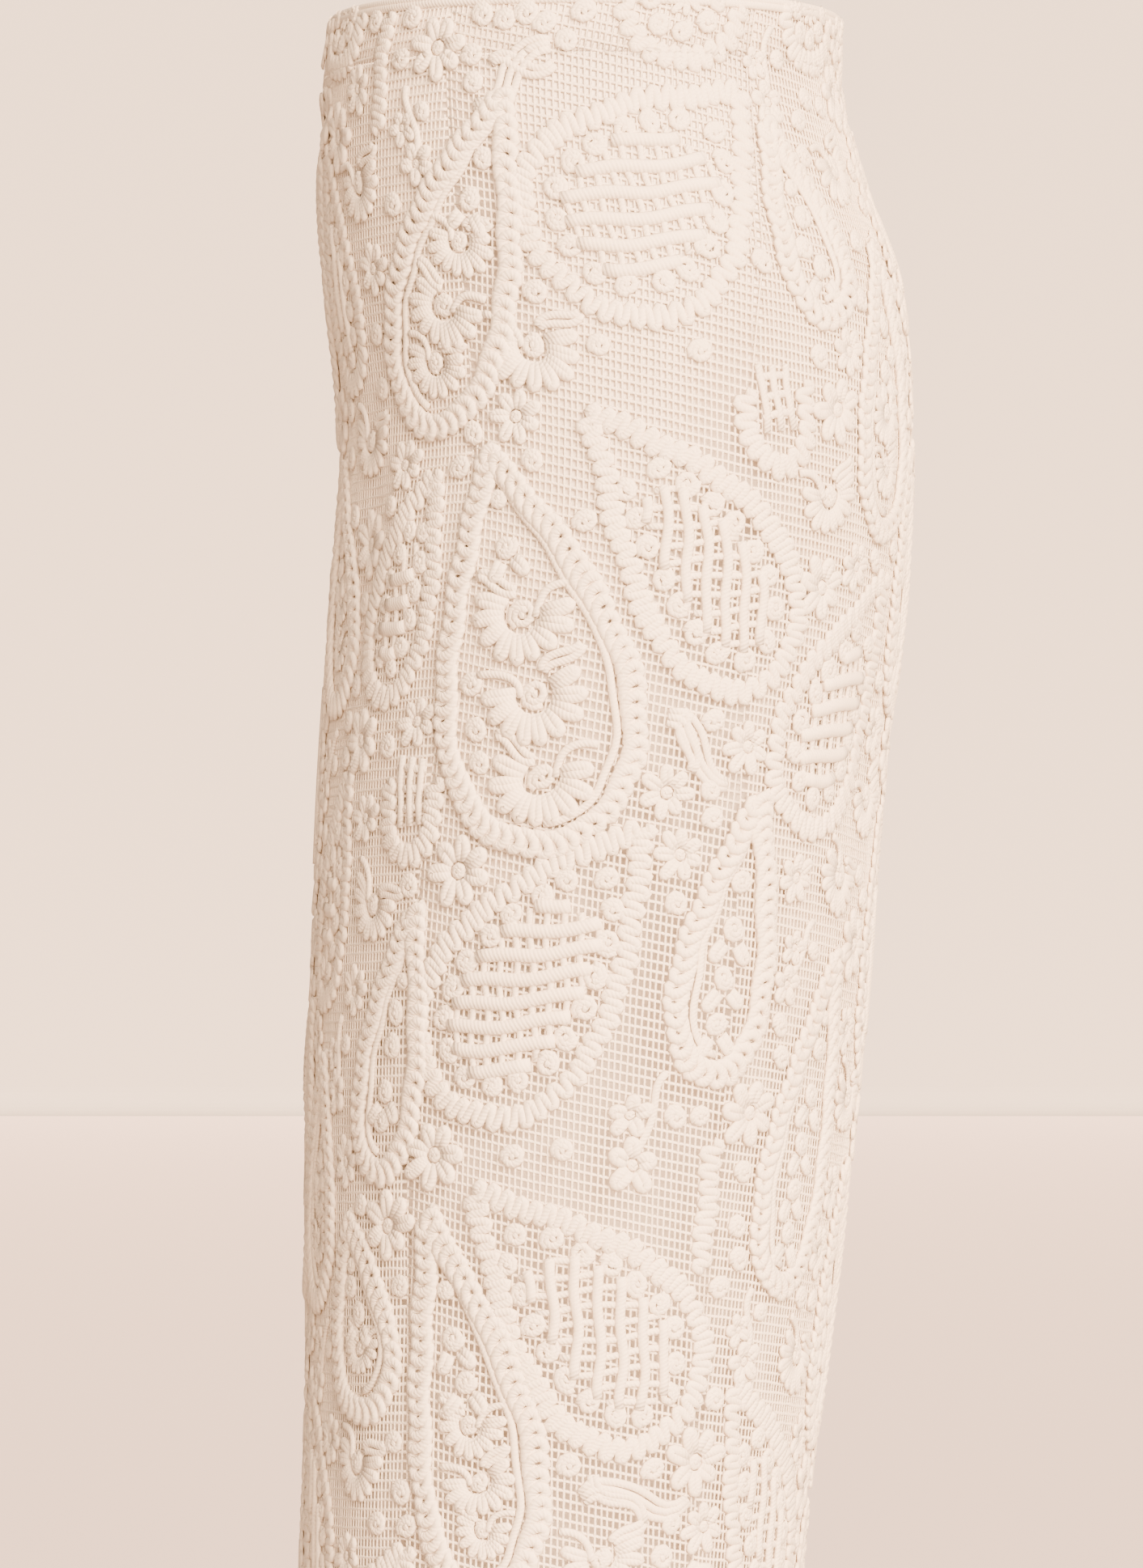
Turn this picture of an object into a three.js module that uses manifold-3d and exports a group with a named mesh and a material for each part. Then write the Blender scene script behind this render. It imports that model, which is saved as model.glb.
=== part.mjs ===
// Long column skirt of cotton net with corded paisley applique, in its worn shape, hanging from its waist.
// Millimetres, +Z up, the front at -Y and the left side at +X. The origin is the centre of the waist's
// top edge.
import * as THREE from "three";
import { mergeVertices } from "three/addons/utils/BufferGeometryUtils.js";
import Module from "manifold-3d";

const wasm = await Module();
wasm.setup();

const RADIANS = Math.PI / 180;
const HALF_TURN = 180;
const BACK_TURN = 90;

// Driving dimensions
const LENGTH = 780;
const BAND_HEIGHT = 25;
const SEAM_GAP = 0.3;
const LINING_SHORTER = 60;

// The outline over the cords at each height: half the width, and the reach to the front and to the back
const OUTLINE = [
  { z: 0, halfWidth: 142, front: 118, back: 100 },
  { z: -30, halfWidth: 147, front: 122, back: 100 },
  { z: -72, halfWidth: 155, front: 122, back: 111 },
  { z: -113, halfWidth: 163, front: 120, back: 125 },
  { z: -174, halfWidth: 171, front: 113.5, back: 129.5 },
  { z: -236, halfWidth: 173, front: 117, back: 127 },
  { z: -317, halfWidth: 171, front: 122, back: 118 },
  { z: -400, halfWidth: 167.5, front: 125, back: 111 },
  { z: -480, halfWidth: 164, front: 127, back: 103 },
  { z: -562, halfWidth: 161.5, front: 127.5, back: 93 },
  { z: -650, halfWidth: 159, front: 130, back: 83 },
  { z: -780, halfWidth: 157, front: 131, back: 74 },
];
// How much fuller than an ellipse each section is between its front, back and sides
const FULLNESS = 0.06;

// The side seams' turn round the body in degrees from the side, towards the front and towards the back
const SEAMS = [
  { z: 0, front: -28.7, back: 39.4 },
  { z: -54, front: -29, back: 35.7 },
  { z: -155, front: -30.3, back: 24 },
  { z: -236, front: -31, back: 24.5 },
  { z: -297, front: -34, back: 26.3 },
  { z: -400, front: -37.6, back: 28.6 },
  { z: -480, front: -36.5, back: 28.7 },
  { z: -568, front: -34.8, back: 30 },
  { z: -650, front: -32.5, back: 32.2 },
  { z: -780, front: -31, back: 34 },
];

// Depths of the cloth's faces, measured in from the outline over the cords
const NET_FACE = -1.8;
const NET_THICKNESS = 1.6;
const NET_INSIDE = NET_FACE - NET_THICKNESS;
const BAND_FACE = -0.3;
const BAND_THICKNESS = 5;
const LINING_THICKNESS = 1;
// The lining's outer face: close under the band, and hanging freer from the hip down
const LINING_FACE = [
  { z: 0, depth: -4.3 },
  { z: -60, depth: -4.6 },
  { z: -174, depth: -5.2 },
  { z: -320, depth: -6.2 },
  { z: -480, depth: -8 },
  { z: -780, depth: -11 },
];

// Rows of the walls: closer together over the hip than below it
const HIP_ROWS = 6;
const HIP_ROW_HEIGHT = 38;
const LEG_ROWS = 6;
// Columns of the walls
const SIDE_COLUMNS = 7;
const FRONT_COLUMNS = 11;
const BACK_COLUMNS = 6;
const ROUND_COLUMNS = 36;
const BAND_COLUMNS = 48;

// Raised applique: borders as wide as the real rope and scallop braids, with sloped flanks
const ROPE_WIDTH = 13;
const SCALLOP_WIDTH = 11;
const FLANK = 1.5;
const APPLIQUE_TOP = 0;
const APPLIQUE_FOOT = NET_INSIDE - 0.3;
const CLIP_DEPTH = NET_INSIDE + 0.2;
const CLIP_TOP = 5;
const CLIP_EDGE = 0.5;
const BORDER_STEPS = 12;
// Shape of a paisley: how sharply it narrows to its tip, and how far the tip bends aside
const TAPER = 1.2;
const HOOK = 0.22;

// Paisleys of the left half of the skirt: turn round the body from the side, negative to the front; height of
// the middle; length and width; lean from upright towards the back; side to which the tip bends; border
const LEFT_PAISLEYS = [
  { turn: -32, z: -106, length: 158, width: 70, lean: 18, bend: 1, border: "rope" },
  { turn: -14, z: -264, length: 174, width: 94, lean: -6, bend: -1, border: "rope" },
  { turn: 11, z: -77, length: 134, width: 92, lean: 46, bend: 0.4, border: "scallop" },
  { turn: 15, z: -220, length: 146, width: 74, lean: -28, bend: -1.4, border: "scallop" },
  { turn: -10, z: -391, length: 146, width: 88, lean: 33, bend: 0.2, border: "scallop" },
  { turn: 25.5, z: -381, length: 126, width: 54, lean: 1, bend: 1, border: "rope" },
  { turn: 5.5, z: -526, length: 140, width: 82, lean: -30, bend: -1.5, border: "scallop" },
  { turn: -18, z: -569, length: 168, width: 64, lean: -7, bend: -1.2, border: "rope" },
  { turn: 50, z: -456, length: 150, width: 60, lean: 4, bend: 1, border: "rope" },
  { turn: 60, z: -158, length: 130, width: 64, lean: -4, bend: 1, border: "rope" },
  { turn: 49.5, z: -282, length: 126, width: 76, lean: 22, bend: 1, border: "scallop" },
  { turn: 52, z: -610, length: 124, width: 66, lean: -22, bend: -1, border: "scallop" },
  { turn: -48, z: -536, length: 92, width: 58, lean: -3, bend: -1, border: "rope" },
  { turn: -43, z: -424, length: 122, width: 50, lean: 4, bend: 1, border: "rope" },
  { turn: -46, z: -238, length: 106, width: 54, lean: 14, bend: 0.6, border: "scallop" },
  { turn: 14, z: -684, length: 132, width: 70, lean: 26, bend: 1, border: "rope" },
  { turn: -46, z: -674, length: 120, width: 64, lean: 20, bend: 1, border: "scallop" },
  { turn: 56, z: -720, length: 96, width: 60, lean: -4, bend: 1, border: "rope" },
  { turn: -68, z: -106, length: 112, width: 52, lean: -6, bend: -1, border: "scallop" },
  { turn: -71, z: -238, length: 114, width: 58, lean: -4, bend: -1, border: "rope" },
  { turn: -67, z: -362, length: 108, width: 52, lean: 10, bend: 1, border: "scallop" },
  { turn: -71, z: -484, length: 112, width: 58, lean: -5, bend: 1, border: "rope" },
  { turn: -68, z: -612, length: 112, width: 54, lean: -12, bend: -1, border: "scallop" },
  { turn: 80, z: -86, length: 96, width: 48, lean: -5, bend: -1, border: "scallop" },
  { turn: 43, z: -92, length: 92, width: 50, lean: 2, bend: -1, border: "rope" },
  { turn: 77, z: -236, length: 116, width: 50, lean: 5, bend: -1, border: "rope" },
  { turn: 77, z: -386, length: 122, width: 54, lean: -8, bend: 1, border: "scallop" },
  { turn: 76, z: -534, length: 126, width: 56, lean: 5, bend: -1, border: "rope" },
  { turn: 78, z: -670, length: 112, width: 52, lean: -8, bend: 1, border: "scallop" },
];
// Paisleys on the middle line of the front, half way round from the back
const FRONT_TURN = -90;
const FRONT_PAISLEYS = [
  { turn: FRONT_TURN, z: -116, length: 134, width: 74, lean: 16, bend: 1, border: "rope" },
  { turn: FRONT_TURN, z: -300, length: 150, width: 78, lean: -6, bend: -1, border: "scallop" },
  { turn: FRONT_TURN, z: -470, length: 140, width: 76, lean: 12, bend: 1, border: "rope" },
  { turn: FRONT_TURN, z: -660, length: 150, width: 80, lean: -14, bend: -1, border: "scallop" },
];
const PAISLEYS = [...LEFT_PAISLEYS, ...LEFT_PAISLEYS.map(mirrored), ...FRONT_PAISLEYS];

function mirrored(motif) {
  return { ...motif, turn: HALF_TURN - motif.turn, lean: -motif.lean, bend: -motif.bend };
}

function slope(table, index, column) {
  const before = table[Math.max(index - 1, 0)];
  const after = table[Math.min(index + 1, table.length - 1)];
  return (after[column] - before[column]) / (after.z - before.z);
}

// A column of a table at any height, on a smooth curve through its rows
function valueAt(table, z, column) {
  const below = table.findIndex((row) => row.z <= z);
  const index = below < 0 ? table.length - 2 : Math.max(below - 1, 0);
  const from = table[index];
  const to = table[index + 1];
  const span = to.z - from.z;
  const t = (z - from.z) / span;
  const startBend = slope(table, index, column) * span;
  const endBend = slope(table, index + 1, column) * span;
  const rise = to[column] - from[column];
  const square = 3 * rise - 2 * startBend - endBend;
  const cube = startBend + endBend - 2 * rise;
  return from[column] + t * (startBend + t * (square + t * cube));
}

// A point of the skirt: turn round the body in degrees, height, and distance out from the outline
function skinPoint(turn, z, out) {
  const halfWidth = valueAt(OUTLINE, z, "halfWidth");
  const front = valueAt(OUTLINE, z, "front");
  const back = valueAt(OUTLINE, z, "back");
  const depth = (front + back) / 2;
  const middle = (back - front) / 2;
  const c = Math.cos(turn * RADIANS);
  const s = Math.sin(turn * RADIANS);
  const x = halfWidth * c * (1 + FULLNESS * s * s);
  const y = depth * s * (1 + FULLNESS * c * c);
  const alongX = -halfWidth * s * (1 + FULLNESS * (s * s - 2 * c * c));
  const alongY = depth * c * (1 + FULLNESS * (c * c - 2 * s * s));
  const length = Math.hypot(alongX, alongY);
  return new THREE.Vector3(x + (alongY / length) * out, middle + y - (alongX / length) * out, z);
}

// Millimetres along the skirt for each degree of turn
function rateAt(turn, z) {
  const reach = 0.5;
  return skinPoint(turn - reach, z, 0).distanceTo(skinPoint(turn + reach, z, 0));
}

class FaceList {
  constructor() {
    this.positions = [];
    this.indices = [];
  }

  point(vector) {
    this.positions.push(vector.x, vector.y, vector.z);
    return this.positions.length / 3 - 1;
  }

  quad(a, b, c, d) {
    this.indices.push(a, b, c, a, c, d);
  }

  geometry() {
    const geometry = new THREE.BufferGeometry();
    geometry.setAttribute("position", new THREE.Float32BufferAttribute(this.positions, 3));
    geometry.setIndex(this.indices);
    return geometry;
  }
}

// A closed wall between two faces of a grid. Each row runs round the body and the rows go down.
function wall(rows, isRing) {
  const faces = new FaceList();
  const outer = rows.map((row) => row.map((cell) => faces.point(cell.outer)));
  const inner = rows.map((row) => row.map((cell) => faces.point(cell.inner)));
  const count = rows[0].length;
  const spans = isRing ? count : count - 1;
  const last = rows.length - 1;
  for (let i = 0; i < spans; i += 1) {
    const next = (i + 1) % count;
    for (let row = 0; row < last; row += 1) {
      faces.quad(outer[row][i], outer[row + 1][i], outer[row + 1][next], outer[row][next]);
      faces.quad(inner[row][i], inner[row][next], inner[row + 1][next], inner[row + 1][i]);
    }
    faces.quad(inner[0][i], outer[0][i], outer[0][next], inner[0][next]);
    faces.quad(outer[last][i], inner[last][i], inner[last][next], outer[last][next]);
  }
  if (!isRing) {
    const end = count - 1;
    for (let row = 0; row < last; row += 1) {
      faces.quad(outer[row][0], inner[row][0], inner[row + 1][0], outer[row + 1][0]);
      faces.quad(inner[row][end], outer[row][end], outer[row + 1][end], inner[row + 1][end]);
    }
  }
  return faces.geometry();
}

function solidOf(geometry) {
  const merged = mergeVertices(geometry);
  const vertProperties = new Float32Array(merged.attributes.position.array);
  const triVerts = new Uint32Array(merged.index.array);
  return new wasm.Manifold(new wasm.Mesh({ numProp: 3, vertProperties, triVerts }));
}

function geometryOf(solid) {
  const mesh = solid.getMesh();
  const geometry = new THREE.BufferGeometry();
  geometry.setAttribute("position", new THREE.Float32BufferAttribute(mesh.vertProperties, 3));
  geometry.setIndex(Array.from(mesh.triVerts));
  return geometry;
}

// Heights of a wall's rows, down to its hem
function rowHeights(top, hem) {
  const hip = Array.from({ length: HIP_ROWS }, (_, i) => top - i * HIP_ROW_HEIGHT);
  const legTop = top - HIP_ROWS * HIP_ROW_HEIGHT;
  const legHeight = (legTop + LENGTH) / LEG_ROWS;
  const leg = Array.from({ length: LEG_ROWS }, (_, i) => legTop - i * legHeight);
  const heights = [...hip, ...leg].filter((z) => z > hem + legHeight / 4);
  return [...heights, hem];
}

// A panel's wall between two seams, drawn in from each by half the gap
function panelGrid(panel, top, hem, outerOut, innerOut, inset) {
  return rowHeights(top, hem).map((z) => {
    const start = panel.from(z);
    const end = panel.to(z);
    const startTurn = start + (SEAM_GAP / 2 + inset) / rateAt(start, z);
    const endTurn = end - (SEAM_GAP / 2 + inset) / rateAt(end, z);
    return Array.from({ length: panel.columns + 1 }, (_, i) => {
      const turn = startTurn + ((endTurn - startTurn) * i) / panel.columns;
      return { outer: skinPoint(turn, z, outerOut), inner: skinPoint(turn, z, innerOut) };
    });
  });
}

// A point of a motif: across and along it, leaned and laid on the skirt
function motifPoint(motif, across, along, out) {
  const lean = motif.lean * RADIANS;
  const aside = across * Math.cos(lean) + along * Math.sin(lean);
  const up = along * Math.cos(lean) - across * Math.sin(lean);
  const turn = motif.turn + aside / rateAt(motif.turn, motif.z);
  return skinPoint(turn, motif.z + up, out);
}

// Outline of a paisley, where the angle is 0 at the tip: a drop shape whose upper part bends aside
function paisleyEdge(motif, angle, grow) {
  const widest = 0.729;
  const along = (motif.length / 2 + grow) * Math.cos(angle);
  const drop = Math.sin(angle) * Math.sin(angle / 2) ** TAPER;
  const height = (1 + Math.cos(angle)) / 2;
  const across = ((motif.width / 2 + grow) * drop) / widest + motif.bend * HOOK * motif.width * height ** 2;
  return { across, along };
}

// The raised border: a strip round the paisley with sloped flanks, its foot inside the wall
function borderSolid(motif) {
  const half = (motif.border === "scallop" ? SCALLOP_WIDTH : ROPE_WIDTH) / 2;
  const corners = [
    { grow: 0, out: APPLIQUE_FOOT },
    { grow: -FLANK, out: APPLIQUE_TOP },
    { grow: FLANK - 2 * half, out: APPLIQUE_TOP },
    { grow: -2 * half, out: APPLIQUE_FOOT },
  ];
  const faces = new FaceList();
  const rings = corners.map((corner) =>
    Array.from({ length: BORDER_STEPS }, (_, i) => {
      const angle = (2 * Math.PI * (i + 0.5)) / BORDER_STEPS;
      const edge = paisleyEdge(motif, angle, corner.grow);
      return faces.point(motifPoint(motif, edge.across, edge.along, corner.out));
    }),
  );
  rings.forEach((ring, k) => {
    const following = rings[(k + 1) % rings.length];
    ring.forEach((vertex, i) => {
      const next = (i + 1) % BORDER_STEPS;
      faces.quad(vertex, following[i], following[next], ring[next]);
    });
  });
  return solidOf(faces.geometry());
}

// True where some of a motif may lie on a panel
function reaches(panel, motif) {
  const reach = motif.length / 2 / rateAt(motif.turn, motif.z) + 2;
  return motif.turn + reach > panel.from(motif.z) && motif.turn - reach < panel.to(motif.z);
}

function panelMesh(panel, top, material) {
  const base = solidOf(wall(panelGrid(panel, top, -LENGTH, NET_FACE, NET_INSIDE, 0), false));
  const clipGrid = panelGrid(panel, top - CLIP_EDGE, CLIP_EDGE - LENGTH, CLIP_TOP, CLIP_DEPTH, CLIP_EDGE);
  const clip = solidOf(wall(clipGrid, false));
  const onPanel = PAISLEYS.flatMap((motif) => [motif, { ...motif, turn: motif.turn - 2 * HALF_TURN }])
    .filter((motif) => reaches(panel, motif))
    .map(borderSolid);
  const solid = onPanel.reduce((whole, raised) => whole.add(raised.intersect(clip)), base);
  return named(panel.name, geometryOf(solid), material);
}

function named(name, geometry, material) {
  const mesh = new THREE.Mesh(geometry, material);
  mesh.name = name;
  return mesh;
}

function ringGrid(heights, columns, outerAt, thickness) {
  return heights.map((z) =>
    Array.from({ length: columns }, (_, i) => {
      const turn = (2 * HALF_TURN * i) / columns;
      const out = outerAt(z);
      return { outer: skinPoint(turn, z, out), inner: skinPoint(turn, z, out - thickness) };
    }),
  );
}

function waistbandMesh(material) {
  const grid = ringGrid([0, -BAND_HEIGHT], BAND_COLUMNS, () => BAND_FACE, BAND_THICKNESS);
  return named("waistband", wall(grid, true), material);
}

function liningMesh(top, material) {
  const heights = rowHeights(top, LINING_SHORTER - LENGTH);
  const faceAt = (z) => valueAt(LINING_FACE, z, "depth");
  return named("lining", wall(ringGrid(heights, ROUND_COLUMNS, faceAt, LINING_THICKNESS), true), material);
}

const seamAt = (z, side) => valueAt(SEAMS, z, side);
const PANELS = [
  {
    name: "side_panel_left",
    columns: SIDE_COLUMNS,
    from: (z) => seamAt(z, "front"),
    to: (z) => seamAt(z, "back"),
  },
  {
    name: "back_panel_left",
    columns: BACK_COLUMNS,
    from: (z) => seamAt(z, "back"),
    to: () => BACK_TURN,
  },
  {
    name: "back_panel_right",
    columns: BACK_COLUMNS,
    from: () => BACK_TURN,
    to: (z) => HALF_TURN - seamAt(z, "back"),
  },
  {
    name: "side_panel_right",
    columns: SIDE_COLUMNS,
    from: (z) => HALF_TURN - seamAt(z, "back"),
    to: (z) => HALF_TURN - seamAt(z, "front"),
  },
  {
    name: "front_panel",
    columns: FRONT_COLUMNS,
    from: (z) => -HALF_TURN - seamAt(z, "front"),
    to: (z) => seamAt(z, "front"),
  },
];

const corded = new THREE.MeshStandardMaterial({ color: 0xe9dccb, roughness: 0.9, metalness: 0 });
const bandCloth = new THREE.MeshStandardMaterial({ color: 0xeadfce, roughness: 0.9, metalness: 0 });
const slipCloth = new THREE.MeshStandardMaterial({ color: 0xe4d4c6, roughness: 0.7, metalness: 0 });

const skirt = new THREE.Group();
const panelTop = -BAND_HEIGHT - SEAM_GAP;
skirt.add(waistbandMesh(bandCloth));
PANELS.forEach((panel) => skirt.add(panelMesh(panel, panelTop, corded)));
skirt.add(liningMesh(panelTop, slipCloth));

export default skirt;
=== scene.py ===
"""Long column skirt of cotton net with paisleys of couched cord, in its worn shape, hanging from its waist.

The tables are in millimetres and the objects in metres. +Z is up, the front is at -Y, and the left side at
+X. A place on the skirt is its turn round the body in degrees, 0 at the left side and negative to the front,
and its height. Motifs are drawn flat, across and along, and laid on the skirt from there.
"""

import math

import bpy
import numpy as np
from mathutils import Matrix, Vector
from mathutils.kdtree import KDTree


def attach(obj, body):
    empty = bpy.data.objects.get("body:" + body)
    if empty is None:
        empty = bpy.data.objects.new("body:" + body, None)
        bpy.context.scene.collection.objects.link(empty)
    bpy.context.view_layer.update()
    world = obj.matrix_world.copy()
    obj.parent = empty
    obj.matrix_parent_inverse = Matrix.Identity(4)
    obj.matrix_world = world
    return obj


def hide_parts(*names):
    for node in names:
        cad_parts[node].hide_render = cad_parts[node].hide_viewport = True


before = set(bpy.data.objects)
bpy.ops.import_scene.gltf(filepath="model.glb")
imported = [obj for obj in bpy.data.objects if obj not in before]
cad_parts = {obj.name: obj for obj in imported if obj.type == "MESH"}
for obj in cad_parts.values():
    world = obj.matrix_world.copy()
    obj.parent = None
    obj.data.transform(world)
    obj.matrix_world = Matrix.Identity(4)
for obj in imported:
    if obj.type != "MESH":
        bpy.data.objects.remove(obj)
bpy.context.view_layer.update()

MM = 0.001
LENGTH = 780
BAND_HEIGHT = 25
LINING_SHORTER = 60
HALF_TURN = 180
FULL_TURN = 360
BACK_TURN = 90
FRONT_TURN = -90

# The outline over the cords at each height: half the width, and the reach to the front and to the back
OUTLINE = [
    {"z": 0, "half_width": 142, "front": 118, "back": 100},
    {"z": -30, "half_width": 147, "front": 122, "back": 100},
    {"z": -72, "half_width": 155, "front": 122, "back": 111},
    {"z": -113, "half_width": 163, "front": 120, "back": 125},
    {"z": -174, "half_width": 171, "front": 113.5, "back": 129.5},
    {"z": -236, "half_width": 173, "front": 117, "back": 127},
    {"z": -317, "half_width": 171, "front": 122, "back": 118},
    {"z": -400, "half_width": 167.5, "front": 125, "back": 111},
    {"z": -480, "half_width": 164, "front": 127, "back": 103},
    {"z": -562, "half_width": 161.5, "front": 127.5, "back": 93},
    {"z": -650, "half_width": 159, "front": 130, "back": 83},
    {"z": -780, "half_width": 157, "front": 131, "back": 74},
]
FULLNESS = 0.06

# The side seams' turn round the body, towards the front and towards the back
SEAMS = [
    {"z": 0, "front": -28.7, "back": 39.4},
    {"z": -54, "front": -29, "back": 35.7},
    {"z": -155, "front": -30.3, "back": 24},
    {"z": -236, "front": -31, "back": 24.5},
    {"z": -297, "front": -34, "back": 26.3},
    {"z": -400, "front": -37.6, "back": 28.6},
    {"z": -480, "front": -36.5, "back": 28.7},
    {"z": -568, "front": -34.8, "back": 30},
    {"z": -650, "front": -32.5, "back": 32.2},
    {"z": -780, "front": -31, "back": 34},
]

# Depths of the cloth, counted outwards from the outline over the cords
NET_DEPTH = -2.7
CORD_FOOT = -2.4
BAND_FACE = -3.3
BAND_INSIDE = -5.3
LINING_THICKNESS = 1
LINING_FACE = [
    {"z": 0, "depth": -3.4},
    {"z": -60, "depth": -3.45},
    {"z": -174, "depth": -3.8},
    {"z": -320, "depth": -4.5},
    {"z": -480, "depth": -6.4},
    {"z": -780, "depth": -9},
]

# Soft troughs and ridges of the worn cloth, each as long, wide and deep as it looks
FOLDS = [
    {"turn": -78, "z": -40, "lean": 80, "length": 84, "width": 8, "depth": -2.6},
    {"turn": -60, "z": -236, "lean": 14, "length": 120, "width": 16, "depth": -2.2},
    {"turn": -48, "z": -205, "lean": -20, "length": 80, "width": 14, "depth": 1.4},
    {"turn": 62, "z": -300, "lean": -12, "length": 150, "width": 20, "depth": -2},
    {"turn": 74, "z": -420, "lean": -8, "length": 190, "width": 24, "depth": 1.8},
    {"turn": 30, "z": -560, "lean": 6, "length": 210, "width": 26, "depth": -1.6},
    {"turn": -44, "z": -600, "lean": -4, "length": 200, "width": 22, "depth": 1.6},
    {"turn": 101, "z": -330, "lean": 10, "length": 160, "width": 22, "depth": -2},
    {"turn": 128, "z": -520, "lean": 6, "length": 200, "width": 24, "depth": 1.7},
    {"turn": 214, "z": -250, "lean": -12, "length": 130, "width": 18, "depth": -2},
    {"turn": 188, "z": -590, "lean": 4, "length": 190, "width": 24, "depth": -1.6},
    {"turn": -104, "z": -52, "lean": 82, "length": 80, "width": 10, "depth": -1.6},
    {"turn": -96, "z": -470, "lean": 5, "length": 200, "width": 26, "depth": 1.7},
]

# Where the slip hangs away from the net, so that its cells look darker
HOLLOWS = [
    {"turn": 15, "z": -425, "lean": -4, "length": 200, "width": 34, "depth": -19},
    {"turn": 165, "z": -425, "lean": 4, "length": 200, "width": 34, "depth": -19},
    {"turn": 8, "z": -585, "lean": 0, "length": 240, "width": 58, "depth": -18},
    {"turn": 172, "z": -585, "lean": 0, "length": 240, "width": 58, "depth": -18},
    {"turn": 22, "z": -225, "lean": 0, "length": 110, "width": 18, "depth": -7},
    {"turn": -26, "z": -110, "lean": 0, "length": 110, "width": 16, "depth": -4},
    {"turn": 100, "z": -520, "lean": 0, "length": 260, "width": 60, "depth": -5},
    {"turn": 262, "z": -600, "lean": 0, "length": 260, "width": 60, "depth": -5},
]

# Net and cord
CELL_WIDTH = 2.65
CELL_HEIGHT = 3.9
THREAD_UP = 1.15
THREAD_ACROSS = 1.5
CORD = 4.6
FINE_CORD = 3.4
FAT_CORD = 4.1
LEVEL_BAR = 6
LEVEL_BAR_PITCH = 9.4
UPRIGHT_BAR = 4.5
UPRIGHT_BAR_PITCH = 8.8
BAR_SAG = 1.5
UNDER_BAR = 2.9
UNDER_BAR_PITCH = 7
ROPE_WIDTH = 13
ROPE_LOOP = 3.9
ROPE_PITCH = 5.8
ROPE_STEPS = 9
ROPE_RISE = 0.5
ROPE_TILT = 0.7
SCALLOP_WIDTH = 11
SCALLOP_REACH = 4
SCALLOP_PERIOD = 6.4
SCALLOP_STEPS = 9
SCALLOP_SLANT = 0.12
SCALLOP_CURL = 0.4
DISC = 5.9
DISC_TURNS = 1.6
DISC_STEPS = 14
PETAL_STEPS = 9
CURVE_STEPS = 12
STRAIGHT_STEP = 4
LEAF_STEPS = 11
PLY_PITCH = 1.7
PLY_SLANT = 1.2
HAND_DRIFT = 0.8
FAN_WIDTH = 40
FAN_HEIGHT = 29
FAN_START = 17
LEAST_ROOM = 8
PETAL_ROOM = 17
NARROW = 60
NARROW_DISCS = 0.86
FAN_LARGEST = 1.15
FAN_SMALLEST = 0.62
FAN_ROOT = 6.4
FLOWER_ROOT = 3.6

# Shape of a paisley: how sharply it narrows to its tip, and how far the tip bends aside
TAPER = 1.2
HOOK = 0.22
WIDEST = 0.729
EDGE_STEPS = 90
CAGE_STEPS = 60


def paisleys(*rows):
    """Paisleys from rows of their places and sizes. The tip bends to one side."""
    columns = ("turn", "z", "length", "width", "lean", "bend", "border")
    return [dict(zip(columns, row)) for row in rows]


# Paisleys of the left half of the skirt and of the front's middle line
LEFT_PAISLEYS = paisleys(
    (-32, -106, 158, 70, 18, 1, "rope"),
    (-14, -264, 174, 94, -6, -1, "rope"),
    (11, -77, 134, 92, 46, 0.4, "scallop"),
    (15, -220, 146, 74, -28, -1.4, "scallop"),
    (-10, -391, 146, 88, 33, 0.2, "scallop"),
    (25.5, -381, 126, 54, 1, 1, "rope"),
    (5.5, -526, 140, 82, -30, -1.5, "scallop"),
    (-18, -569, 168, 64, -7, -1.2, "rope"),
    (50, -456, 150, 60, 4, 1, "rope"),
    (60, -158, 130, 64, -4, 1, "rope"),
    (49.5, -282, 126, 76, 22, 1, "scallop"),
    (52, -610, 124, 66, -22, -1, "scallop"),
    (-48, -536, 92, 58, -3, -1, "rope"),
    (-43, -424, 122, 50, 4, 1, "rope"),
    (-46, -238, 106, 54, 14, 0.6, "scallop"),
    (14, -684, 132, 70, 26, 1, "rope"),
    (-46, -674, 120, 64, 20, 1, "scallop"),
    (56, -720, 96, 60, -4, 1, "rope"),
    (-68, -106, 112, 52, -6, -1, "scallop"),
    (-71, -238, 114, 58, -4, -1, "rope"),
    (-67, -362, 108, 52, 10, 1, "scallop"),
    (-71, -484, 112, 58, -5, 1, "rope"),
    (-68, -612, 112, 54, -12, -1, "scallop"),
    (80, -86, 96, 48, -5, -1, "scallop"),
    (43, -92, 92, 50, 2, -1, "rope"),
    (77, -236, 116, 50, 5, -1, "rope"),
    (77, -386, 122, 54, -8, 1, "scallop"),
    (76, -534, 126, 56, 5, -1, "rope"),
    (78, -670, 112, 52, -8, 1, "scallop"),
)
FRONT_PAISLEYS = paisleys(
    (-90, -116, 134, 74, 16, 1, "rope"),
    (-90, -300, 150, 78, -6, -1, "scallop"),
    (-90, -470, 140, 76, 12, 1, "rope"),
    (-90, -660, 150, 80, -14, -1, "scallop"),
)


def slopes(heights, column):
    """The slope of a column at each row, from the rows on both sides."""
    last = len(heights) - 1
    before = np.maximum(np.arange(last + 1) - 1, 0)
    after = np.minimum(np.arange(last + 1) + 1, last)
    return (column[after] - column[before]) / (heights[after] - heights[before])


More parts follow.
